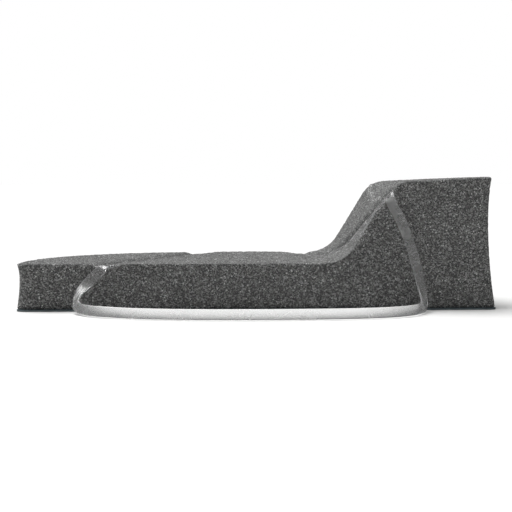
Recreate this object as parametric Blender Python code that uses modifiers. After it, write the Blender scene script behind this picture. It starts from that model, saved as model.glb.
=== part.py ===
"""A strap-on violin shoulder rest: a stepped foam pad, its grip sheet and a clear elastic band.

Units are metres. The origin is at the centre of the underside, which lies on the violin's back.
+X runs towards the thick end, +Y towards the curved edge and +Z away from the violin.
"""

import math

import bmesh
import bpy
import numpy as np
from mathutils import Vector

PAD_LENGTH = 0.190
PAD_WIDTH = 0.076
THIN_HEIGHT = 0.0185
SHOULDER_HEIGHT = 0.0504
THICK_END_HEIGHT = 0.0526
SLOPE_FOOT_X = 0.0342
SLOPE_ANGLE = math.radians(58.8)
FOOT_RADIUS = 0.015
SHOULDER_RADIUS = 0.0115
OUTLINE_POWER = 2.3  # of the curved edge, where 2 would be half an ellipse
CORNER_RADIUS = 0.0035

SHEET_THICKNESS = 0.0006
SHEET_MARGIN = 0.0012  # how far the sheet shows past the foam's straight face
GAP = 0.0003

BAND_WIDTH = 0.004
BAND_THICKNESS = 0.0008
BAND_STANDOFF = 0.0009  # from the foam to the middle of the band
BAND_SECTION_LENGTH = 0.0025

CUT_MARGIN = 0.01
ARC_STEPS = 10
CURVE_STEPS = 56

FRONT_Y = -PAD_WIDTH / 2
END_X = PAD_LENGTH / 2


def clear_scene():
    for obj in list(bpy.data.objects):
        bpy.data.objects.remove(obj, do_unlink=True)


def make_collection(name):
    collection = bpy.data.collections.new(name)
    bpy.context.scene.collection.children.link(collection)
    return collection


def make_material(name, colour, roughness, transmission=0.0):
    material = bpy.data.materials.new(name)
    material.use_nodes = True
    shader = material.node_tree.nodes["Principled BSDF"]
    shader.inputs["Base Color"].default_value = (*colour, 1.0)
    shader.inputs["Roughness"].default_value = roughness
    shader.inputs["Metallic"].default_value = 0.0
    shader.inputs["Transmission Weight"].default_value = transmission
    material.diffuse_color = (*colour, 1.0)
    return material


def filleted(corners):
    """The points of an outline of (x, y, radius) corners, with an arc at each one that has a radius."""
    points = []
    for i, (x, y, radius) in enumerate(corners):
        here = Vector((x, y))
        if not radius:
            points.append(here)
            continue
        back = (Vector(corners[i - 1][:2]) - here).normalized()
        ahead = (Vector(corners[(i + 1) % len(corners)][:2]) - here).normalized()
        half_angle = back.angle(ahead) / 2
        centre = here + (back + ahead).normalized() * radius / math.sin(half_angle)
        reach = radius / math.tan(half_angle)
        start = here + back * reach - centre
        turn = start.angle_signed(here + ahead * reach - centre)
        for step in range(ARC_STEPS + 1):
            angle = -turn * step / ARC_STEPS
            c, s = math.cos(angle), math.sin(angle)
            points.append(centre + Vector((start.x * c - start.y * s, start.x * s + start.y * c)))
    return points


def slope_shoulder_x():
    """Where the slope's line meets the thick end's top."""
    return SLOPE_FOOT_X + (SHOULDER_HEIGHT - THIN_HEIGHT) / math.tan(SLOPE_ANGLE)


def side_profile(bottom):
    """The pad seen along +Y, x across and height up. It runs past both ends, which the die cuts."""
    end = END_X + CUT_MARGIN
    rise = (THICK_END_HEIGHT - SHOULDER_HEIGHT) / (END_X - slope_shoulder_x())
    return filleted(
        [
            (-end, bottom, 0),
            (end, bottom, 0),
            (end, THICK_END_HEIGHT + rise * CUT_MARGIN, 0),
            (slope_shoulder_x(), SHOULDER_HEIGHT, SHOULDER_RADIUS),
            (SLOPE_FOOT_X, THIN_HEIGHT, FOOT_RADIUS),
            (-end, THIN_HEIGHT, 0),
        ]
    )


def curved_edge(angle):
    """Where a ray from the middle of the straight face meets the curved edge at this angle."""
    c, s = math.cos(angle), math.sin(angle)
    shape = abs(c / END_X) ** OUTLINE_POWER + abs(s / PAD_WIDTH) ** OUTLINE_POWER
    reach = shape ** (-1 / OUTLINE_POWER)
    return Vector((reach * c, FRONT_Y + reach * s))


def plan_outline(front_margin=0.0):
    """The D seen from above: straight face, rounded corners, curved edge."""
    front = FRONT_Y - front_margin
    points = []
    for side in (-1, 1):
        for step in range(ARC_STEPS // 2 + 1):
            angle = math.pi / 2 * step / (ARC_STEPS // 2)
            if side < 0:
                angle = math.pi / 2 - angle
            x = END_X - CORNER_RADIUS + CORNER_RADIUS * math.sin(angle)
            points.append(Vector((side * x, front + CORNER_RADIUS - CORNER_RADIUS * math.cos(angle))))
    first = math.atan2(2 * CORNER_RADIUS, END_X)
    for step in range(CURVE_STEPS + 1):
        points.append(curved_edge(first + (math.pi - 2 * first) * step / CURVE_STEPS))
    return points


def flat_shape(name, points, thickness, collection):
    """A flat outline with this thickness, centred on its own plane, as a 2D curve."""
    curve = bpy.data.curves.new(name, "CURVE")
    curve.dimensions = "2D"
    curve.fill_mode = "BOTH"
    curve.extrude = thickness / 2
    spline = curve.splines.new("POLY")
    spline.points.add(len(points) - 1)
    for target, point in zip(spline.points, points):
        target.co = (point[0], point[1], 0, 1)
    spline.use_cyclic_u = True
    obj = bpy.data.objects.new(name, curve)
    collection.objects.link(obj)
    return obj


def as_mesh(curve_object):
    """The same object as a mesh, with its caps welded on, so that a Boolean can use it."""
    name, matrix = curve_object.name, curve_object.matrix_world.copy()
    collection = curve_object.users_collection[0]
    graph = bpy.context.evaluated_depsgraph_get()
    mesh = bpy.data.meshes.new_from_object(curve_object.evaluated_get(graph))
    bpy.data.objects.remove(curve_object, do_unlink=True)
    bm = bmesh.new()
    bm.from_mesh(mesh)
    bmesh.ops.remove_doubles(bm, verts=bm.verts, dist=1e-6)
    bmesh.ops.recalc_face_normals(bm, faces=bm.faces)
    bm.to_mesh(mesh)
    bm.free()
    obj = bpy.data.objects.new(name, mesh)
    obj.matrix_world = matrix
    collection.objects.link(obj)
    return obj


def make_foam_pad(collection, cutters):
    """The contour-cut block, trimmed to the D by the die."""
    bottom = SHEET_THICKNESS + GAP
    pad = flat_shape("foam_pad", side_profile(bottom), PAD_WIDTH + 2 * CUT_MARGIN, collection)
    pad.rotation_euler.x = math.pi / 2
    bpy.context.view_layer.update()
    pad = as_mesh(pad)
    die_height = THICK_END_HEIGHT + 2 * CUT_MARGIN
    die = flat_shape("outline_die", plan_outline(), die_height, cutters)
    die.location.z = THICK_END_HEIGHT / 2
    bpy.context.view_layer.update()
    die = as_mesh(die)
    die.hide_render = True
    die.display_type = "WIRE"
    cut = pad.modifiers.new("Die cut", "BOOLEAN")
    cut.operation = "INTERSECT"
    cut.object = die
    pad.data.materials.append(make_material("charcoal_foam", (0.16, 0.16, 0.16), 0.95))
    return pad


def make_grip_sheet(collection):
    sheet = flat_shape("grip_sheet", plan_outline(SHEET_MARGIN), SHEET_THICKNESS, collection)
    sheet.location.z = SHEET_THICKNESS / 2
    sheet.data.materials.append(make_material("slate_rubber", (0.10, 0.13, 0.14), 0.7))
    return sheet


def top_height(x):
    """How high the pad's top is at this x, from its side profile."""
    top = [point for point in side_profile(0.0) if point.y > THIN_HEIGHT / 2]
    top.sort(key=lambda point: point.x)
    return float(np.interp(x, [point.x for point in top], [point.y for point in top]))


def edge_y(x):
    """Where the curved edge is at this x."""
    return FRONT_Y + PAD_WIDTH * (1 - abs(x / END_X) ** OUTLINE_POWER) ** (1 / OUTLINE_POWER)


def top_frame(x):
    """The top's unit vectors at this x: up along the profile, and out of the foam."""
    step = 0.0005
    along = Vector((2 * step, 0, top_height(x + step) - top_height(x - step))).normalized()
    return along, Vector((-along.z, 0, along.x))


def strand(start_x, end_x, start_y, end_y, side):
    """The band's stations across the top, rim to rim, each a place and the way across the band."""
    stations = []
    for share in (0.0, 0.03, 0.1, 0.25, 0.4, 0.55, 0.7, 0.82, 0.9, 0.97, 1.0):
        x = start_x + (end_x - start_x) * share
        y = start_y + (end_y - start_y) * share
        along, out = top_frame(x)
        if share in (0.0, 1.0):
            away = Vector((0, 1 if y > 0 else -1, 0))
            out = (out + away).normalized()
        stations.append((Vector((x, y, top_height(x))) + out * BAND_STANDOFF, along * side, None))
    return stations


def loose_end(rows):
    """The stations off the pad, from rows of (place, outward direction) in millimetres."""
    return [(Vector(place) / 1000, None, Vector(out).normalized()) for place, out in rows]


# The loop that reaches the violin's two lower corners, from the thick side round to the thin side.
CORNER_LOOP = [
    ((52.6, -39.3, 43.0), (-0.4, -0.9, 0.15)),
    ((55.6, -39.9, 36.5), (0, -1, 0)),
    ((59.4, -40.6, 27.0), (0.1, -1, 0)),
    ((62.2, -42.0, 17.0), (0.25, -0.95, 0.1)),
    ((63.7, -45.0, 8.6), (0.5, -0.75, 0.4)),
    ((63.6, -50.5, 3.3), (0.8, -0.35, 0.5)),
    ((60.5, -57.0, 2.4), (0.84, -0.48, 0.25)),
    ((53.0, -63.5, 2.2), (0.6, -0.8, 0.2)),
    ((40.0, -68.5, 2.2), (0.3, -0.95, 0.15)),
    ((20.0, -71.0, 2.2), (0.1, -1, 0.12)),
    ((-2.0, -71.5, 2.2), (0, -1, 0.12)),
    ((-24.0, -70.5, 2.2), (-0.1, -1, 0.15)),
    ((-44.0, -67.0, 2.2), (-0.3, -0.95, 0.2)),
    ((-59.0, -61.0, 2.3), (-0.6, -0.8, 0.25)),
    ((-67.5, -54.0, 2.5), (-0.85, -0.45, 0.3)),
    ((-70.5, -47.5, 3.9), (-0.8, -0.35, 0.5)),
    ((-69.5, -42.8, 8.0), (-0.45, -0.75, 0.4)),
    ((-66.5, -40.4, 12.5), (-0.15, -0.97, 0.1)),
    ((-62.6, -39.3, 17.0), (0, -1, 0)),
]
# The small loop that reaches the end button, from the thin side round to the thick side.
BUTTON_LOOP = [
    ((-21.0, 38.3, 17.0), (-0.05, 1, 0)),
    ((-18.6, 39.4, 11.5), (-0.25, 0.95, 0.1)),
    ((-16.8, 42.3, 6.4), (-0.6, 0.7, 0.4)),
    ((-14.6, 47.2, 3.0), (-0.9, 0.35, 0.35)),
    ((-8.8, 52.5, 2.3), (-0.6, 0.8, 0.2)),
    ((0.0, 54.4, 2.2), (0, 1, 0.15)),
    ((8.2, 52.3, 2.3), (0.6, 0.8, 0.2)),
    ((13.4, 47.2, 3.0), (0.9, 0.35, 0.35)),
    ((15.4, 42.3, 6.4), (0.6, 0.7, 0.4)),
    ((17.0, 39.4, 11.5), (0.25, 0.95, 0.1)),
    ((19.1, 38.3, 17.0), (0.05, 1, 0)),
]
THICK_SIDE_X = (0.020, 0.051)  # where that strand crosses the curved edge and the straight face
THIN_SIDE_X = (-0.022, -0.061)


def band_stations():
    thick_back, thick_front = THICK_SIDE_X
    thin_back, thin_front = THIN_SIDE_X
    return (
        strand(thick_back, thick_front, edge_y(thick_back), FRONT_Y, 1)
        + loose_end(CORNER_LOOP)
        + strand(thin_front, thin_back, FRONT_Y, edge_y(thin_back), -1)
        + loose_end(BUTTON_LOOP)
    )


def unit(rows):
    return rows / np.linalg.norm(rows, axis=1, keepdims=True)


def tangents(points):
    """The direction of travel at each point of a closed loop, weighted by its neighbours' distances."""
    gap = np.linalg.norm(np.roll(points, -1, 0) - points, axis=1)
    return (np.roll(points, -1, 0) - np.roll(points, 1, 0)) / (gap + np.roll(gap, 1))[:, None]


def hermite(values, slopes, spans, step):
    """The closed curve through values, cut into pieces of about this length. Every value is kept."""
    rows = []
    for i, span in enumerate(spans):
        j = (i + 1) % len(values)
        pieces = max(2, round(span / step))
        for piece in range(pieces):
            t = piece / pieces
            rows.append(
                values[i] * (1 + 2 * t) * (1 - t) ** 2
                + slopes[i] * span * t * (1 - t) ** 2
                + values[j] * t * t * (3 - 2 * t)
                - slopes[j] * span * t * t * (1 - t)
            )
    return np.array(rows)


def band_sections():
    """The band's middle line and the half-width across it, at every section."""
    stations = band_stations()
    places = np.array([place for place, _, _ in stations])
    travel = unit(tangents(places))
    across = np.array(
        [
            given if given is not None else Vector(out).cross(Vector(ahead)).normalized()
            for (_, given, out), ahead in zip(stations, travel)
        ]
    )
    spans = np.linalg.norm(np.roll(places, -1, 0) - places, axis=1)
    both_spans = (spans + np.roll(spans, 1))[:, None]
    turning = (np.roll(across, -1, 0) - np.roll(across, 1, 0)) / both_spans
    step = BAND_SECTION_LENGTH
    middle = hermite(places, tangents(places), spans, step)
    across = unit(hermite(across, turning, spans, step))
    slant = np.linalg.norm(np.cross(unit(tangents(middle)), across), axis=1)
    return middle, across * (BAND_WIDTH / 2 / slant)[:, None]


def make_elastic_band(collection):
    """One endless flat band: a ribbon between two closed edges, given its thickness."""
    middle, half = band_sections()
    bm = bmesh.new()
    left = [bm.verts.new(point) for point in middle + half]
    right = [bm.verts.new(point) for point in middle - half]
    for i in range(len(left)):
        j = (i + 1) % len(left)
        bm.faces.new((left[i], right[i], right[j], left[j]))
    mesh = bpy.data.meshes.new("elastic_band")
    bm.to_mesh(mesh)
    bm.free()
    band = bpy.data.objects.new("elastic_band", mesh)
    collection.objects.link(band)
    wall = band.modifiers.new("Thickness", "SOLIDIFY")
    wall.thickness = BAND_THICKNESS
    wall.offset = 0
    mesh.shade_smooth()
    mesh.set_sharp_from_angle(angle=math.radians(40))
    mesh.materials.append(make_material("clear_elastomer", (0.85, 0.86, 0.85), 0.25, 0.8))
    return band


def main():
    clear_scene()
    parts = make_collection("violin_shoulder_rest")
    cutters = make_collection("cutters")
    make_foam_pad(parts, cutters)
    make_grip_sheet(parts)
    make_elastic_band(parts)


main()
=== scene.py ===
import math

import bmesh
import bpy
import numpy as np
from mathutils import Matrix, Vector
from mathutils.bvhtree import BVHTree


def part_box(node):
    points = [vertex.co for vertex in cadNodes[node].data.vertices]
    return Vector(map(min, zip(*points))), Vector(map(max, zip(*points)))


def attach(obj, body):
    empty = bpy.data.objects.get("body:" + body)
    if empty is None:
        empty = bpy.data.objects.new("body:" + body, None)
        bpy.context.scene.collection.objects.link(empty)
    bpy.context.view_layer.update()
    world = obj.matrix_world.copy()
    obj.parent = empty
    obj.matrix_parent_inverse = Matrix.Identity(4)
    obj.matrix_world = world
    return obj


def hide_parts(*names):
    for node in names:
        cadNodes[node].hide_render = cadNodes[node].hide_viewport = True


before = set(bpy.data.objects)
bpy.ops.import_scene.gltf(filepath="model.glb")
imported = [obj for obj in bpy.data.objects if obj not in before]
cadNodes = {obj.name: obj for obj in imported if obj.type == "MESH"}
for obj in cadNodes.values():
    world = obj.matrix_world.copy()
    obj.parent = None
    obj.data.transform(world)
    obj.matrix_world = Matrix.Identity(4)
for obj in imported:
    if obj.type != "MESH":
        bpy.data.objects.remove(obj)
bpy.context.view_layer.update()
padLow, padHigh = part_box("foam_pad")
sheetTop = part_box("grip_sheet")[1].z
print("frame loaded:", sorted(cadNodes))

pieces = bpy.data.collections.new("shoulderRestLooks")
bpy.context.scene.collection.children.link(pieces)

studio = {
    "eye": Vector((-0.0204, -0.5079, 0.053)),  # in front of the straight face, a little above it
    "aim": Vector((-0.0009, -0.038, 0.0215)),
    "lens": 84.2,
    "nearClip": 0.01,
    "floorSize": 12.0,
    "floorDrop": 0.0001,  # keeps the floor clear of the sheet's underside
    "floorColour": (0.74, 0.74, 0.735),
    "floorRoughness": 0.9,
    "floorSpecular": 0.1,
    "skyForLight": 0.1,  # how bright the surroundings are to the object
    "skyForEye": 1.0,
    "sunTilt": (math.radians(-9), math.radians(-17)),  # from behind and the thin end
    "sunSpread": math.radians(50),
    "sunStrength": 4.5,
}


def makeCamera():
    data = bpy.data.cameras.new("studioCamera")
    data.lens = studio["lens"]
    data.clip_start = studio["nearClip"]
    camera = bpy.data.objects.new("studioCamera", data)
    camera.location = studio["eye"]
    look = studio["aim"] - studio["eye"]
    camera.rotation_euler = look.to_track_quat("-Z", "Y").to_euler()
    bpy.context.scene.collection.objects.link(camera)
    bpy.context.scene.camera = camera


def makeFloor():
    mesh = bpy.data.meshes.new("studioFloor")
    bm = bmesh.new()
    bmesh.ops.create_grid(bm, x_segments=1, y_segments=1, size=studio["floorSize"] / 2)
    bmesh.ops.translate(bm, verts=bm.verts, vec=(0, 0, -studio["floorDrop"]))
    bm.to_mesh(mesh)
    bm.free()
    floor = bpy.data.objects.new("studioFloor", mesh)
    bpy.context.scene.collection.objects.link(floor)
    paint = bpy.data.materials.new("floorPaint")
    paint.use_nodes = True
    shader = paint.node_tree.nodes["Principled BSDF"]
    shader.inputs["Base Color"].default_value = (*studio["floorColour"], 1)
    shader.inputs["Roughness"].default_value = studio["floorRoughness"]
    shader.inputs["Specular IOR Level"].default_value = studio["floorSpecular"]
    mesh.materials.append(paint)


def makeLight():
    data = bpy.data.lights.new("softSun", "SUN")
    data.energy = studio["sunStrength"]
    data.angle = studio["sunSpread"]
    sun = bpy.data.objects.new("softSun", data)
    sun.rotation_euler = (*studio["sunTilt"], 0)
    bpy.context.scene.collection.objects.link(sun)
    world = bpy.data.worlds.new("studioWorld")
    bpy.context.scene.world = world
    world.use_nodes = True
    nodes, links = world.node_tree.nodes, world.node_tree.links
    background = nodes["Background"]
    background.inputs["Color"].default_value = (1, 1, 1, 1)
    path = nodes.new("ShaderNodeLightPath")
    level = nodes.new("ShaderNodeMapRange")
    level.inputs["To Min"].default_value = studio["skyForLight"]
    level.inputs["To Max"].default_value = studio["skyForEye"]
    links.new(path.outputs["Is Camera Ray"], level.inputs["Value"])
    links.new(level.outputs["Result"], background.inputs["Strength"])
    bpy.context.scene.view_settings.view_transform = "Standard"


makeCamera()
makeFloor()
makeLight()
print("studio ready")


def addNode(tree, kind, label=None, **settings):
    node = tree.nodes.new(kind)
    if label:
        node.label = label
    for name, value in settings.items():
        setattr(node, name, value)
    return node


def fillInputs(node, values):
    for name, value in values.items():
        node.inputs[name].default_value = value


def makeSocket(group, name, kind, direction="INPUT", value=None):
    socket = group.interface.new_socket(
        name=name, in_out=direction, socket_type="NodeSocket" + kind
    )
    if value is not None:
        socket.default_value = value


def linkMath(tree, operation, *values):
    node = addNode(tree, "ShaderNodeMath", operation=operation)
    for slot, value in enumerate(values):
        if isinstance(value, (int, float)):
            node.inputs[slot].default_value = value
        else:
            tree.links.new(value, node.inputs[slot])
    return node.outputs[0]


def finishTree(tree, given, shape):
    smooth = addNode(tree, "GeometryNodeSetShadeSmooth")
    tree.links.new(shape, smooth.inputs["Geometry"])
    real = addNode(tree, "GeometryNodeRealizeInstances")
    tree.links.new(smooth.outputs[0], real.inputs[0])
    finish = addNode(tree, "GeometryNodeSetMaterial")
    tree.links.new(real.outputs[0], finish.inputs["Geometry"])
    tree.links.new(given.outputs["Material"], finish.inputs["Material"])
    done = addNode(tree, "NodeGroupOutput")
    tree.links.new(finish.outputs[0], done.inputs[0])
    return tree


def meshObject(name, mesh):
    piece = bpy.data.objects.new(name, mesh)
    pieces.objects.link(piece)
    return piece


def plainMesh(piece):
    graph = bpy.context.evaluated_depsgraph_get()
    return bpy.data.meshes.new_from_object(piece.evaluated_get(graph))


def runTree(piece, tree, values):
    modifier = piece.modifiers.new(tree.name, "NODES")
    modifier.node_group = tree
    for item in tree.interface.items_tree:
        if item.item_type == "SOCKET" and item.in_out == "INPUT" and item.name in values:
            modifier[item.identifier] = values[item.name]
    result = plainMesh(piece)
    piece.modifiers.remove(modifier)
    old = piece.data
    piece.data = result
    result.name = piece.name
    bpy.data.meshes.remove(old)


def blankMaterial(name, roughness):
    material = bpy.data.materials.new(name)
    material.use_nodes = True
    tree = material.node_tree
    shader = tree.nodes["Principled BSDF"]
    shader.inputs["Roughness"].default_value = roughness
    place = addNode(tree, "ShaderNodeTexCoord")
    return material, tree, shader, place.outputs["Object"]


def addBump(tree, shader, height, strength, depth):
    bump = addNode(tree, "ShaderNodeBump")
    fillInputs(bump, {"Strength": strength, "Distance": depth})
    tree.links.new(height, bump.inputs["Height"])
    tree.links.new(bump.outputs[0], shader.inputs["Normal"])


grain = {
    "driftScale": 60.0,  # slow light and dark areas, per metre
    "driftAmount": 0.3,
    "strutFrom": 0.02,
    "strutTo": 0.22,
    "strutWeight": 0.22,
    "faceContrast": 2.6,  # higher makes more cells dark and fewer bright
    # painted glints: cells above this share are painted bright, as if their strut facets caught the
    # light
    "paintedGlintAbove": 0.985,
}


def buildGrainGroup():
    group = bpy.data.node_groups.new("cutFoamGrain", "ShaderNodeTree")
    makeSocket(group, "Vector", "Vector")
    for name in ("Cell Size", "Pore Shade", "Strut Shade"):
        makeSocket(group, name, "Float")
    for name in ("Shade", "Painted Glint", "Height"):
        makeSocket(group, name, "Float", "OUTPUT")
    given = addNode(group, "NodeGroupInput")
    done = addNode(group, "NodeGroupOutput")
    scale = linkMath(group, "DIVIDE", 1.0, given.outputs["Cell Size"])
    cell = addNode(group, "ShaderNodeTexVoronoi", "cell faces", feature="F1")
    edge = addNode(group, "ShaderNodeTexVoronoi", "struts", feature="DISTANCE_TO_EDGE")
    for texture in (cell, edge):
        group.links.new(given.outputs["Vector"], texture.inputs["Vector"])
        group.links.new(scale, texture.inputs["Scale"])
    each = addNode(group, "ShaderNodeSeparateColor")
    group.links.new(cell.outputs["Color"], each.inputs[0])
    drift = addNode(group, "ShaderNodeTexNoise", "uneven batch")
    group.links.new(given.outputs["Vector"], drift.inputs["Vector"])
    fillInputs(drift, {"Scale": grain["driftScale"], "Detail": 3.0})
    # lighter struts at the cell edges and darker cell centres: random grain tone, partly painted
    # highlight on the struts and painted shade in the open pores
    strut = addNode(group, "ShaderNodeMapRange", interpolation_type="SMOOTHSTEP")
    group.links.new(edge.outputs["Distance"], strut.inputs["Value"])
    reach = {"From Min": grain["strutFrom"], "From Max": grain["strutTo"]}
    fillInputs(strut, {**reach, "To Min": 1.0, "To Max": 0.0})
    face = linkMath(group, "POWER", each.outputs[0], grain["faceContrast"])
    body = linkMath(group, "MULTIPLY_ADD", strut.outputs["Result"], grain["strutWeight"], face)
    shade = addNode(group, "ShaderNodeMapRange", clamp=False)
    group.links.new(body, shade.inputs["Value"])
    group.links.new(given.outputs["Pore Shade"], shade.inputs["To Min"])
    group.links.new(given.outputs["Strut Shade"], shade.inputs["To Max"])
    amount = grain["driftAmount"]
    uneven = linkMath(group, "MULTIPLY_ADD", drift.outputs[0], amount, 1 - amount / 2)
    # painted glints: a few random cells are marked to be painted bright
    paintedGlint = linkMath(group, "GREATER_THAN", each.outputs[1], grain["paintedGlintAbove"])
    group.links.new(linkMath(group, "MULTIPLY", shade.outputs[0], uneven), done.inputs["Shade"])
    group.links.new(paintedGlint, done.inputs["Painted Glint"])
    group.links.new(body, done.inputs["Height"])
    return group


def grainMaterial(name, look, group):
    material, tree, shader, place = blankMaterial(name, look["roughness"])
    shader.inputs["Specular IOR Level"].default_value = look["specular"]
    cells = addNode(tree, "ShaderNodeGroup", node_tree=group)
    tree.links.new(place, cells.inputs["Vector"])
    shades = {"Pore Shade": look["poreShade"], "Strut Shade": look["strutShade"]}
    fillInputs(cells, {"Cell Size": look["grainSize"], **shades})
    tint = addNode(tree, "ShaderNodeVectorMath", operation="SCALE")
    tint.inputs[0].default_value = look["colour"]
    tree.links.new(tint.outputs[0], shader.inputs["Base Color"])
    addBump(tree, shader, cells.outputs["Height"], look["bumpStrength"], look["bumpDepth"])
    return material, tree, cells, tint


grainGroup = buildGrainGroup()

padShape = {
    "samples": 380,  # along the length, of the pad's height
    "endInset": 0.0005,
    "readAt": 0.01,  # behind the straight face
    "edgeAt": 0.005,  # above the foam's underside
    "slopeReach": 0.0008,
}
padTree = BVHTree.FromObject(cadNodes["foam_pad"], bpy.context.evaluated_depsgraph_get())


def heightUnder(x, y):
    hit = padTree.ray_cast(Vector((x, y, 1)), Vector((0, 0, -1)))[0]
    return hit.z if hit else 0.0


def curvedEdgeY(x):
    start = Vector((x, 1, padLow.z + padShape["edgeAt"]))
    return padTree.ray_cast(start, Vector((0, -1, 0)))[0].y


profileX = np.linspace(
    padLow.x + padShape["endInset"], padHigh.x - padShape["endInset"], padShape["samples"]
)
profileZ = np.array([heightUnder(x, padLow.y + padShape["readAt"]) for x in profileX])


def topHeight(x):
    return np.interp(x, profileX, profileZ)


def topAlong(x):
    reach = padShape["slopeReach"]
    rise = float(topHeight(x + reach) - topHeight(x - reach))
    return Vector((2 * reach, 0, rise)).normalized()


band = {
    "width": 0.004,
    "thickness": 0.0008,
    "edgeRadius": 0.00026,
    "edgeSteps": 3,
    "sunk": 0.0012,  # from the foam's first surface down to the middle of the band
    "rimSunk": 0.0019,
    "step": 0.0008,
    "thickSideX": (0.020, 0.051),  # where that strand crosses the curved edge and straight face
    "thinSideX": (-0.022, -0.061),
    "strandShares": (0.0, 0.03, 0.1, 0.25, 0.4, 0.55, 0.7, 0.82, 0.9, 0.97, 1.0),
    "roughness": (0.18, 0.34),
    "transmission": 0.93,
    "refraction": 1.48,
    "streakScale": 140.0,
    "streakTones": (0.93, 0.99),
    "bumpStrength": 0.03,
    "bumpDepth": 0.0001,
}
# each row is a place and the direction that the band's outer face looks, in millimetres
cornerLoop = [
    ((52.4, -38.9, 42.4), (-0.4, -0.9, 0.15)),
    ((55.6, -39.9, 36.5), (0, -1, 0)),
    ((59.4, -40.6, 27.0), (0.1, -1, 0)),
    ((62.2, -42.0, 17.0), (0.25, -0.95, 0.1)),
    ((63.7, -45.0, 8.6), (0.5, -0.75, 0.4)),
    ((63.6, -50.5, 3.3), (0.8, -0.35, 0.5)),
    ((60.5, -57.0, 2.4), (0.84, -0.48, 0.25)),
    ((53.0, -63.5, 2.2), (0.6, -0.8, 0.2)),
    ((40.0, -68.5, 2.2), (0.3, -0.95, 0.15)),
    ((20.0, -71.0, 2.2), (0.1, -1, 0.12)),
    ((-2.0, -71.5, 2.2), (0, -1, 0.12)),
    ((-24.0, -70.5, 2.2), (-0.1, -1, 0.15)),
    ((-44.0, -67.0, 2.2), (-0.3, -0.95, 0.2)),
    ((-59.0, -61.0, 2.3), (-0.6, -0.8, 0.25)),
    ((-67.5, -54.0, 2.5), (-0.85, -0.45, 0.3)),
    ((-70.5, -47.5, 3.9), (-0.8, -0.35, 0.5)),
    ((-69.5, -42.8, 8.0), (-0.45, -0.75, 0.4)),
    ((-66.2, -40.2, 11.8), (-0.15, -0.97, 0.1)),
    ((-62.4, -38.8, 15.4), (0, -1, 0)),
]
buttonLoop = [
    ((-21.3, 37.5, 15.6), (-0.05, 1, 0)),
    ((-18.6, 39.4, 11.5), (-0.25, 0.95, 0.1)),
    ((-16.8, 42.3, 6.4), (-0.6, 0.7, 0.4)),
    ((-14.6, 47.2, 3.0), (-0.9, 0.35, 0.35)),
    ((-8.8, 52.5, 2.3), (-0.6, 0.8, 0.2)),
    ((0.0, 54.4, 2.2), (0, 1, 0.15)),
    ((8.2, 52.3, 2.3), (0.6, 0.8, 0.2)),
    ((13.4, 47.2, 3.0), (0.9, 0.35, 0.35)),
    ((15.4, 42.3, 6.4), (0.6, 0.7, 0.4)),
    ((17.0, 39.4, 11.5), (0.25, 0.95, 0.1)),
    ((19.4, 37.5, 15.6), (0.05, 1, 0)),
]


def strandStations(startX, endX, startY, endY, side):
    stations = []
    for share in band["strandShares"]:
        x = startX + (endX - startX) * share
        y = startY + (endY - startY) * share
        along = topAlong(x)
        out = Vector((-along.z, 0, along.x))
        sunk = band["sunk"]
        if share in (0.0, 1.0):  # the strand bends over the rim there
            out = (out + Vector((0, math.copysign(1, y), 0))).normalized()
            sunk = band["rimSunk"]
        place = Vector((x, y, float(topHeight(x)))) - out * sunk
        stations.append((place, along * side, None))
    return stations


def looseStations(rows):
    return [(Vector(place) / 1000, None, Vector(out)) for place, out in rows]


def unitRows(rows):
    return rows / np.linalg.norm(rows, axis=1, keepdims=True)


def loopSlope(values, spans):
    both = (spans + np.roll(spans, 1))[:, None]
    return (np.roll(values, -1, 0) - np.roll(values, 1, 0)) / both


def loopCurve(values, spans):
    slopes, rows = loopSlope(values, spans), []
    for i, span in enumerate(spans):
        j = (i + 1) % len(spans)
        count = max(2, round(span / band["step"]))
        for k in range(count):
            t = k / count
            weights = (
                (1 + 2 * t) * (1 - t) ** 2,
                span * t * (1 - t) ** 2,
                t * t * (3 - 2 * t),
                -span * t * t * (1 - t),
            )
            rows.append(np.dot(weights, (values[i], slopes[i], values[j], slopes[j])))
    return np.array(rows)


def bandRoute():
    thickBack, thickFront = band["thickSideX"]
    thinBack, thinFront = band["thinSideX"]
    stations = strandStations(thickBack, thickFront, curvedEdgeY(thickBack), padLow.y, 1)
    stations += looseStations(cornerLoop)
    stations += strandStations(thinFront, thinBack, padLow.y, curvedEdgeY(thinBack), -1)
    stations += looseStations(buttonLoop)
    places = np.array([place for place, _, _ in stations])
    spans = np.linalg.norm(np.roll(places, -1, 0) - places, axis=1)
    ahead = loopSlope(places, spans)
    across = [
        given if given else out.cross(Vector(forward)).normalized()
        for (_, given, out), forward in zip(stations, ahead)
    ]
    line = loopCurve(places, spans)
    travel = unitRows(np.roll(line, -1, 0) - np.roll(line, 1, 0))
    facing = unitRows(np.cross(travel, loopCurve(np.array(across), spans)))
    return line, travel, facing


bandLine, bandTravel, bandFacing = bandRoute()
print("band route:", len(bandLine), "sections")


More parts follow.
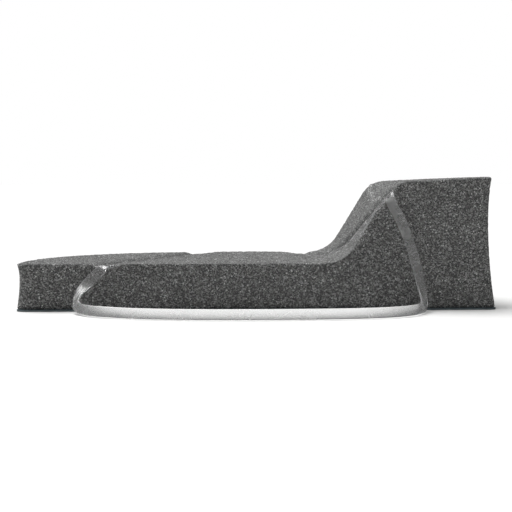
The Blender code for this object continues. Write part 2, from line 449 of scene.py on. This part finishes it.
def buildBandTree():
    tree = bpy.data.node_groups.new("flatBandSweep", "GeometryNodeTree")
    makeSocket(tree, "Geometry", "Geometry")
    makeSocket(tree, "Width", "Float", value=band["width"])
    makeSocket(tree, "Thickness", "Float", value=band["thickness"])
    makeSocket(tree, "Edge Radius", "Float", value=band["edgeRadius"])
    makeSocket(tree, "Material", "Material")
    makeSocket(tree, "Geometry", "Geometry", "OUTPUT")
    given = addNode(tree, "NodeGroupInput")
    facing = addNode(tree, "GeometryNodeInputNamedAttribute", data_type="FLOAT_VECTOR")
    facing.inputs["Name"].default_value = "facing"
    path = addNode(tree, "GeometryNodeMeshToCurve")
    tree.links.new(given.outputs["Geometry"], path.inputs["Mesh"])
    turned = addNode(tree, "GeometryNodeSetCurveNormal", mode="FREE")
    tree.links.new(path.outputs[0], turned.inputs["Curve"])
    tree.links.new(facing.outputs[0], turned.inputs["Normal"])
    section = addNode(tree, "GeometryNodeCurvePrimitiveQuadrilateral")
    tree.links.new(given.outputs["Thickness"], section.inputs["Width"])
    tree.links.new(given.outputs["Width"], section.inputs["Height"])
    rounded = addNode(tree, "GeometryNodeFilletCurve", mode="POLY")
    rounded.inputs["Count"].default_value = band["edgeSteps"]
    tree.links.new(section.outputs[0], rounded.inputs["Curve"])
    tree.links.new(given.outputs["Edge Radius"], rounded.inputs["Radius"])
    sweep = addNode(tree, "GeometryNodeCurveToMesh")
    tree.links.new(turned.outputs[0], sweep.inputs["Curve"])
    tree.links.new(rounded.outputs[0], sweep.inputs["Profile Curve"])
    return finishTree(tree, given, sweep.outputs[0])


def makeBandMaterial():
    smoothest, roughest = band["roughness"]
    material, tree, shader, place = blankMaterial("clearElastomer", smoothest)
    shader.inputs["IOR"].default_value = band["refraction"]
    shader.inputs["Transmission Weight"].default_value = band["transmission"]
    cloud = addNode(tree, "ShaderNodeTexNoise", "milky streaks")
    tree.links.new(place, cloud.inputs["Vector"])
    fillInputs(cloud, {"Scale": band["streakScale"], "Detail": 3.0})
    tone = addNode(tree, "ShaderNodeValToRGB")
    for element, grey in zip(tone.color_ramp.elements, band["streakTones"]):
        element.color = (grey, grey, grey, 1)
    tree.links.new(cloud.outputs[0], tone.inputs[0])
    tree.links.new(tone.outputs[0], shader.inputs["Base Color"])
    rough = addNode(tree, "ShaderNodeMapRange")
    fillInputs(rough, {"To Min": smoothest, "To Max": roughest})
    tree.links.new(cloud.outputs[0], rough.inputs["Value"])
    tree.links.new(rough.outputs[0], shader.inputs["Roughness"])
    addBump(tree, shader, cloud.outputs[0], band["bumpStrength"], band["bumpDepth"])
    return material


def makeElasticBand():
    mesh = bpy.data.meshes.new("elasticBand")
    count = len(bandLine)
    mesh.from_pydata(bandLine.tolist(), [(i, (i + 1) % count) for i in range(count)], [])
    facing = mesh.attributes.new("facing", "FLOAT_VECTOR", "POINT")
    facing.data.foreach_set("vector", bandFacing.astype(np.float32).ravel())
    piece = meshObject("clearElasticBand", mesh)
    runTree(piece, buildBandTree(), {"Material": makeBandMaterial()})
    bm = bmesh.new()
    bm.from_mesh(piece.data)
    bmesh.ops.recalc_face_normals(bm, faces=bm.faces)
    bm.to_mesh(piece.data)
    bm.free()
    return piece


foam = {
    "voxel": 0.00065,
    "outlinePower": 2.3,  # of the curved edge, where 2 would be half an ellipse
    "wallHollow": 0.0031,  # how far the die-cut wall pulls in where the pad is thickest
    "hollowAt": 0.7,  # the share of the height where it pulls in most
    "hollowAtTop": 0.63,  # the share of the hollow that is left at the thick end's top edge
    "hollowGrip": 6,  # how closely the hollow keeps to the wall
    "faceHollow": 0.0006,
    "faceReach": 0.012,
    "footReach": 0.0015,  # the lowest foam, drawn down onto the sheet
    "grooveEnds": (0.0016, 0.0008),  # past the straight face and past the curved edge
    "grooveFloor": 0.004,
    "grooveShoulder": 0.0017,
    "grooveRoom": 0.0004,
    "grooveDeepest": 0.004,
    "grooveReach": 0.006,
    "relaxFrom": 0.01,
    "relaxRounds": 8,
    "relaxShare": 0.5,
    # the torn seam across the shoulder, as rows of y and x in millimetres
    "seamRows": [(-38, 50), (-24, 49.5), (-13, 48.4), (-4, 50.2), (14, 50.7), (21, 52.4), (30, 54)],
    "seamWaves": ((0.00025, 2600), (0.0002, 5900)),  # how far it wanders and how often
    "seamHeight": 0.00035,
    "seamWidth": 0.0006,
    "seamReach": 0.0015,
    "cellSize": 0.0011,
    "cellDepth": 0.0003,
    "cellOpening": 0.75,
    "cellWeight": 0.8,
    "strutWeight": 0.55,
    "cellShare": 0.5,  # of the depth, given back so that the skin keeps its place
    "pitSpacing": 0.017,
    "pitRadius": 0.0017,
    "pitDepth": 0.0009,
    "keepAbove": 0.0003,  # foam this close to the sheet keeps its place
    "seed": 7,
    "colour": (0.157, 0.158, 0.156),
    # partly painted shade in the open pores and painted highlight on the struts, besides random
    # tone from cell to cell
    "poreShade": 0.24,
    "strutShade": 2.3,
    # painted glint: how bright the marked cells are painted
    "paintedGlintShade": 4.0,
    "seamHighlightShade": 0.5,  # painted highlight: how much lighter the foam along the raised shoulder seam is painted
    "paintedPitShade": -0.8,  # painted shade: how much darker the inside of the pits is painted
    "grainSize": 0.00042,
    "roughness": 0.92,
    "specular": 0.25,
    "bumpStrength": 0.9,
    "bumpDepth": 0.0003,
}


def padBlank():
    mesh = cadNodes["foam_pad"].data.copy()
    bm = bmesh.new()
    bm.from_mesh(mesh)
    bmesh.ops.remove_doubles(bm, verts=bm.verts, dist=1e-5)
    bmesh.ops.recalc_face_normals(bm, faces=bm.faces)
    bm.to_mesh(mesh)
    bm.free()
    blank = meshObject("padBlank", mesh)
    remesh = blank.modifiers.new("evenSkin", "REMESH")
    remesh.mode = "VOXEL"
    remesh.voxel_size = foam["voxel"]
    skin = plainMesh(blank)
    bpy.data.objects.remove(blank, do_unlink=True)
    bpy.data.meshes.remove(mesh)
    return skin


def readPoints(mesh):
    points = np.empty(len(mesh.vertices) * 3, np.float32)
    mesh.vertices.foreach_get("co", points)
    return points.reshape(-1, 3).astype(float)


def writePoints(mesh, points):
    mesh.vertices.foreach_set("co", points.astype(np.float32).ravel())
    mesh.update()


def raiseSeam(points):
    x, y, z = points.T
    rows = np.array(foam["seamRows"]) / 1000
    seamX = np.interp(y, rows[:, 0], rows[:, 1])
    for amount, often in foam["seamWaves"]:
        seamX = seamX + amount * np.sin(y * often)
    onTop = np.clip(1 - (topHeight(x) - z) / foam["seamReach"], 0, 1)
    ridge = np.exp(-(((x - seamX) / foam["seamWidth"]) ** 2)) * onTop
    points[:, 2] += foam["seamHeight"] * ridge
    return ridge


def hollowShape(share, top):
    waist = foam["hollowAt"]  # 0 at the base, 1 at the waist, and this much again at the top
    below = 1 - ((share - waist) / waist) ** 2
    above = 1 - (1 - top) * ((share - waist) / (1 - waist)) ** 2
    return np.where(share < waist, below, above)


def cutWalls(points):
    x, y, z = points.T
    local = topHeight(x)
    thinnest = profileZ.min()
    share = np.clip((z - padLow.z) / (local - padLow.z), 0, 1)
    topShare = foam["hollowAtTop"] * (local - thinnest) / (padHigh.z - thinnest)
    shape = hollowShape(share, topShare) * local / padHigh.z
    amount = foam["wallHollow"] * shape
    reachX = np.abs(x) / padHigh.x
    reachY = (y - padLow.y) / (padHigh.y - padLow.y)
    power = foam["outlinePower"]
    outward = np.clip((reachX**power + np.abs(reachY) ** power) ** (1 / power), 0, 1)
    rim = outward ** foam["hollowGrip"]
    points[:, 0] -= x / padHigh.x * amount * rim
    points[:, 1] -= reachY * amount * rim
    faceNear = np.clip(1 - (y - padLow.y) / foam["faceReach"], 0, 1) ** 2
    points[:, 1] += foam["faceHollow"] * shape * faceNear
    base = np.clip(1 - (points[:, 2] - padLow.z) / foam["footReach"], 0, 1)
    points[:, 2] -= base * (padLow.z - sheetTop)


def pressGrooves(points):
    pastFace, pastCurve = foam["grooveEnds"]
    bandY = bandLine[:, 1]
    onPad = (bandY > padLow.y - pastFace) & (bandY < padHigh.y + pastCurve)
    line, travel, facing = bandLine[onPad], bandTravel[onPad], bandFacing[onPad]
    across = np.cross(facing, travel)
    near = np.flatnonzero(points[:, 2] > padLow.z + foam["grooveFloor"])
    halfWidth, under = band["width"] / 2, band["thickness"] / 2 + foam["grooveRoom"]
    fade, deepest = foam["grooveShoulder"], foam["grooveDeepest"]
    pressed = []
    for chunk in np.array_split(near, max(1, len(near) // 4000)):  # a part at a time, for memory
        apart = points[chunk, None, :] - line[None, :, :]
        nearest = (apart**2).sum(2).argmin(1)
        gap = points[chunk] - line[nearest]
        side = np.abs((gap * across[nearest]).sum(1))
        ahead = np.abs((gap * travel[nearest]).sum(1))
        above = (gap * facing[nearest]).sum(1) + under
        shoulder = np.exp(-((np.clip(side - halfWidth, 0, None) / fade) ** 2))
        close = np.exp(-((np.clip(ahead - band["step"], 0, None) / fade) ** 2))
        push = np.clip(above, 0, deepest) * shoulder * close
        push = push * (np.abs(above) < foam["grooveReach"])
        points[chunk] -= facing[nearest] * push[:, None]
        pressed.append(chunk[shoulder * close > foam["relaxFrom"]])
    return np.concatenate(pressed)


def relax(mesh, rows):
    bm = bmesh.new()
    bm.from_mesh(mesh)
    bm.verts.ensure_lookup_table()
    chosen = [bm.verts[int(row)] for row in rows]
    axes = {"use_axis_x": True, "use_axis_y": True, "use_axis_z": True}
    for _ in range(foam["relaxRounds"]):
        bmesh.ops.smooth_vert(bm, verts=chosen, factor=foam["relaxShare"], **axes)
    bm.to_mesh(mesh)
    bm.free()


def buildCellTree():
    tree = bpy.data.node_groups.new("openFoamCells", "GeometryNodeTree")
    makeSocket(tree, "Geometry", "Geometry")
    makeSocket(tree, "Cell Size", "Float", value=foam["cellSize"])
    makeSocket(tree, "Cell Depth", "Float", value=foam["cellDepth"])
    makeSocket(tree, "Depth Given Back", "Float", value=foam["cellShare"])
    makeSocket(tree, "Pit Spacing", "Float", value=foam["pitSpacing"])
    makeSocket(tree, "Pit Radius", "Float", value=foam["pitRadius"])
    makeSocket(tree, "Pit Depth", "Float", value=foam["pitDepth"])
    makeSocket(tree, "Keep Below", "Float", value=0.0)
    makeSocket(tree, "Seed", "Int", value=foam["seed"])
    makeSocket(tree, "Material", "Material")
    makeSocket(tree, "Geometry", "Geometry", "OUTPUT")
    given = addNode(tree, "NodeGroupInput")
    inputs = given.outputs
    place = addNode(tree, "GeometryNodeInputPosition")
    normal = addNode(tree, "GeometryNodeInputNormal")
    seedMove = addNode(tree, "ShaderNodeCombineXYZ")
    tree.links.new(inputs["Seed"], seedMove.inputs["X"])
    shifted = addNode(tree, "ShaderNodeVectorMath", operation="ADD")
    tree.links.new(place.outputs[0], shifted.inputs[0])
    tree.links.new(seedMove.outputs[0], shifted.inputs[1])
    cells = addNode(tree, "ShaderNodeTexVoronoi", "cells")
    torn = addNode(tree, "ShaderNodeTexWhiteNoise", "torn struts", noise_dimensions="3D")
    pits = addNode(tree, "ShaderNodeTexVoronoi", "pits")
    for texture in (cells, torn, pits):
        tree.links.new(shifted.outputs[0], texture.inputs["Vector"])
    for texture, size in ((cells, "Cell Size"), (pits, "Pit Spacing")):
        tree.links.new(linkMath(tree, "DIVIDE", 1.0, inputs[size]), texture.inputs["Scale"])
    middle = linkMath(tree, "SUBTRACT", foam["cellOpening"], cells.outputs["Distance"])
    hollow = linkMath(tree, "MULTIPLY", middle, foam["cellWeight"])
    ragged = linkMath(tree, "MULTIPLY", torn.outputs["Value"], foam["strutWeight"])
    opened = linkMath(tree, "ADD", hollow, ragged)
    opened = linkMath(tree, "SUBTRACT", opened, inputs["Depth Given Back"])
    depth = linkMath(tree, "MULTIPLY", opened, inputs["Cell Depth"])
    pitReach = linkMath(tree, "MULTIPLY", pits.outputs["Distance"], inputs["Pit Spacing"])
    pitShare = addNode(tree, "ShaderNodeMapRange", interpolation_type="SMOOTHSTEP")
    tree.links.new(pitReach, pitShare.inputs["Value"])
    tree.links.new(inputs["Pit Radius"], pitShare.inputs["From Max"])
    fillInputs(pitShare, {"To Min": 1.0, "To Max": 0.0})
    pitDepth = linkMath(tree, "MULTIPLY", pitShare.outputs["Result"], inputs["Pit Depth"])
    inward = linkMath(tree, "MULTIPLY", linkMath(tree, "ADD", depth, pitDepth), -1.0)
    move = addNode(tree, "ShaderNodeVectorMath", operation="SCALE")
    tree.links.new(normal.outputs[0], move.inputs[0])
    tree.links.new(inward, move.inputs["Scale"])
    height = addNode(tree, "ShaderNodeSeparateXYZ")
    tree.links.new(place.outputs[0], height.inputs[0])
    above = linkMath(tree, "GREATER_THAN", height.outputs["Z"], inputs["Keep Below"])
    # the pits' share is also kept as a mask for the painted shade inside them
    marked = addNode(tree, "GeometryNodeStoreNamedAttribute", data_type="FLOAT", domain="POINT")
    marked.inputs["Name"].default_value = "pitShadeMask"
    tree.links.new(inputs["Geometry"], marked.inputs["Geometry"])
    tree.links.new(pitShare.outputs["Result"], marked.inputs["Value"])
    shift = addNode(tree, "GeometryNodeSetPosition")
    tree.links.new(marked.outputs[0], shift.inputs["Geometry"])
    tree.links.new(above, shift.inputs["Selection"])
    tree.links.new(move.outputs[0], shift.inputs["Offset"])
    return finishTree(tree, given, shift.outputs[0])


def makeFoamMaterial():
    material, tree, cells, tint = grainMaterial("charcoalFoam", foam, grainGroup)
    # mixes the painted glints into the foam's shade
    bright = addNode(tree, "ShaderNodeMix", data_type="FLOAT")
    tree.links.new(cells.outputs["Painted Glint"], bright.inputs["Factor"])
    tree.links.new(cells.outputs["Shade"], bright.inputs["A"])
    bright.inputs["B"].default_value = foam["paintedGlintShade"]
    # painted highlight along the shoulder seam, and painted shade inside the pits
    seamHighlight = addNode(tree, "ShaderNodeAttribute", "shoulder seam", attribute_name="seamHighlight")
    pitShadeMask = addNode(tree, "ShaderNodeAttribute", "pits", attribute_name="pitShadeMask")
    lighter = linkMath(tree, "MULTIPLY_ADD", seamHighlight.outputs["Fac"], foam["seamHighlightShade"], 1.0)
    marked = linkMath(tree, "MULTIPLY_ADD", pitShadeMask.outputs["Fac"], foam["paintedPitShade"], lighter)
    tree.links.new(linkMath(tree, "MULTIPLY", bright.outputs[0], marked), tint.inputs["Scale"])
    return material


def makeFoamPad():
    skin = padBlank()
    points = readPoints(skin)
    ridge = raiseSeam(points)
    cutWalls(points)
    pressed = pressGrooves(points)
    writePoints(skin, points)
    # marks where the painted highlight along the shoulder seam goes
    seamHighlight = skin.attributes.new("seamHighlight", "FLOAT", "POINT")
    seamHighlight.data.foreach_set("value", ridge.astype(np.float32))
    relax(skin, pressed)
    piece = meshObject("foamPad", skin)
    keepBelow = sheetTop + foam["keepAbove"]
    values = {"Keep Below": keepBelow, "Material": makeFoamMaterial(), "Seed": foam["seed"]}
    runTree(piece, buildCellTree(), values)
    return piece


sheet = {
    # slate colour of the thin sheet under the foam; its dark line along the foot also stands in for
    # painted contact shadow
    "colour": (0.085, 0.112, 0.122),
    "poreShade": 0.8,
    "strutShade": 1.2,
    "grainSize": 0.0012,
    "roughness": 0.6,
    "specular": 0.5,
    "bumpStrength": 0.5,
    "bumpDepth": 0.0002,
}


def finishGripSheet():
    material, tree, cells, tint = grainMaterial("slateSheetAndFootShadow", sheet, grainGroup)
    tree.links.new(cells.outputs["Shade"], tint.inputs["Scale"])
    slots = cadNodes["grip_sheet"].data.materials
    slots.clear()
    slots.append(material)


foamPad = makeFoamPad()
print("foam pad:", len(foamPad.data.polygons), "faces")
elasticBand = makeElasticBand()
print("band:", len(elasticBand.data.polygons), "faces")
finishGripSheet()
print("grip sheet finished")

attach(foamPad, "pad")
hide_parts("foam_pad")
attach(elasticBand, "band")
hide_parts("elastic_band")
